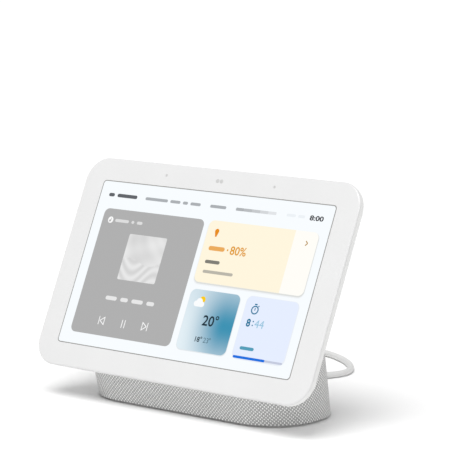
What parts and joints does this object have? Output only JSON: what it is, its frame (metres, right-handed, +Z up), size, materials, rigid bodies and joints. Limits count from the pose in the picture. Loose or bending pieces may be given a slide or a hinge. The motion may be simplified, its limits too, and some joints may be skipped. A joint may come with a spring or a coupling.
{
  "type": "smart display",
  "caption": "Touch screen tilted back on a fabric-covered speaker base, with a microphone switch, volume rocker and a pull-out power lead.",
  "frame": {"origin": "middle of the object's footprint, on the surface that it stands on, without its cord", "axes": "+X to the right as seen from the front, -Y the way the screen faces, +Z up"},
  "size_m": [0.1774, 0.1791, 0.1204],
  "materials": {
    "face_glass": "clear, polished, rounded at the front edge",
    "white_print": "opaque white print on the back of the glass",
    "black_tape": "thin foam tape",
    "sensor_glass": "clear",
    "screen": "dark laminated cell",
    "backlight": "white stack of films",
    "frame_metal": "pressed sheet",
    "white_housing": "fine matt moulding",
    "light_grey_button": "fine matt moulding",
    "circuit_board": "solder mask",
    "black_plastic": "moulded",
    "can_metal": "tinned sheet",
    "pad": "soft pad",
    "spreader_metal": "sheet",
    "amber_film": "film",
    "lens": "clear light guide",
    "steel": "plated",
    "dark_rubber": "moulded",
    "antenna_metal": "foil",
    "grey_shell": "moulded",
    "knit_fabric": "light grey woven yarn",
    "basket_metal": "black paint",
    "magnet": "ferrite",
    "yoke_steel": "zinc plated",
    "coil_wire": "enamelled winding",
    "cone": "pressed cone",
    "spider_cloth": "impregnated cloth",
    "ballast": "steel plate",
    "foot_rubber": "soft, matt",
    "white_lead": "soft jacket",
    "white_moulding": "moulded",
    "plug_metal": "nickel plated"
  },
  "bodies": {
    "display": {"cover_glass": "face_glass", "bezel_print": "white_print", "display_tape": "black_tape", "touch_sensor": "sensor_glass", "lcd_cell": "screen", "backlight_unit": "backlight", "mid_frame": "frame_metal", "rear_housing": "white_housing", "main_board": "circuit_board", "shield_cans": "can_metal", "board_parts": "black_plastic", "thermal_pads": "pad", "heat_spreader": "spreader_metal", "display_flex": "amber_film", "sensor_board": "circuit_board", "sensors": "black_plastic", "sensor_lens": "lens", "microphones": "can_metal", "microphone_boots": "dark_rubber", "mic_switch": "black_plastic", "rocker_pin": "steel", "button_board": "circuit_board", "button_switches": "black_plastic", "antennas": "antenna_metal", "head_screws": "steel", "neck_plate": "steel", "neck_bracket": "steel", "base_shell": "grey_shell", "fabric_sleeve": "knit_fabric", "speaker_grille": "grey_shell", "speaker_basket": "basket_metal", "pole_piece": "yoke_steel", "speaker_magnet": "magnet", "top_plate": "yoke_steel", "speaker_surround": "dark_rubber", "speaker_spider": "spider_cloth", "ballast_plate": "ballast", "bottom_plate": "grey_shell", "base_screws": "steel", "rubber_foot": "foot_rubber", "power_socket": "black_plastic", "socket_bezel": "white_moulding", "power_board": "circuit_board", "harness": "black_plastic"},
    "switch_knob": {"mic_switch_knob": "light_grey_button"},
    "rocker": {"volume_rocker": "light_grey_button"},
    "cone": {"voice_coil": "coil_wire", "speaker_cone": "cone", "dust_cap": "cone"},
    "power_lead": {"plug_barrel": "plug_metal", "dc_plug": "white_lead", "cord": "white_lead", "cord_coil": "white_lead", "cord_tie": "white_moulding", "cord_tail": "white_lead", "adapter_bushing": "white_lead", "adapter_shell": "white_moulding", "adapter_cover": "white_moulding", "adapter_pins": "plug_metal", "adapter_board": "circuit_board"}
  },
  "joints": [
    {"name": "mic_switch_slide", "type": "slide", "parent": "display", "child": "switch_knob", "axis": [1, 0, 0], "range_m": [0, 0.0024]},
    {"name": "volume_rocker_tilt", "type": "hinge", "parent": "display", "child": "rocker", "pos_m": [0.076, 0.00348, 0.08124], "axis": [1, 0, 0], "range_deg": [-2, 2], "stiffness_Nm_per_rad": 0.4},
    {"name": "speaker_cone_stroke", "type": "slide", "parent": "display", "child": "cone", "axis": [0, 0.9701, 0.2425], "range_m": [-0.0008, 0.0008], "stiffness_N_per_m": 1500, "deforming": ["speaker_surround", "speaker_spider"]},
    {"name": "power_plug_pull", "type": "slide", "parent": "display", "child": "power_lead", "axis": [0, 1, 0], "range_m": [0, 0.015]}
  ]
}
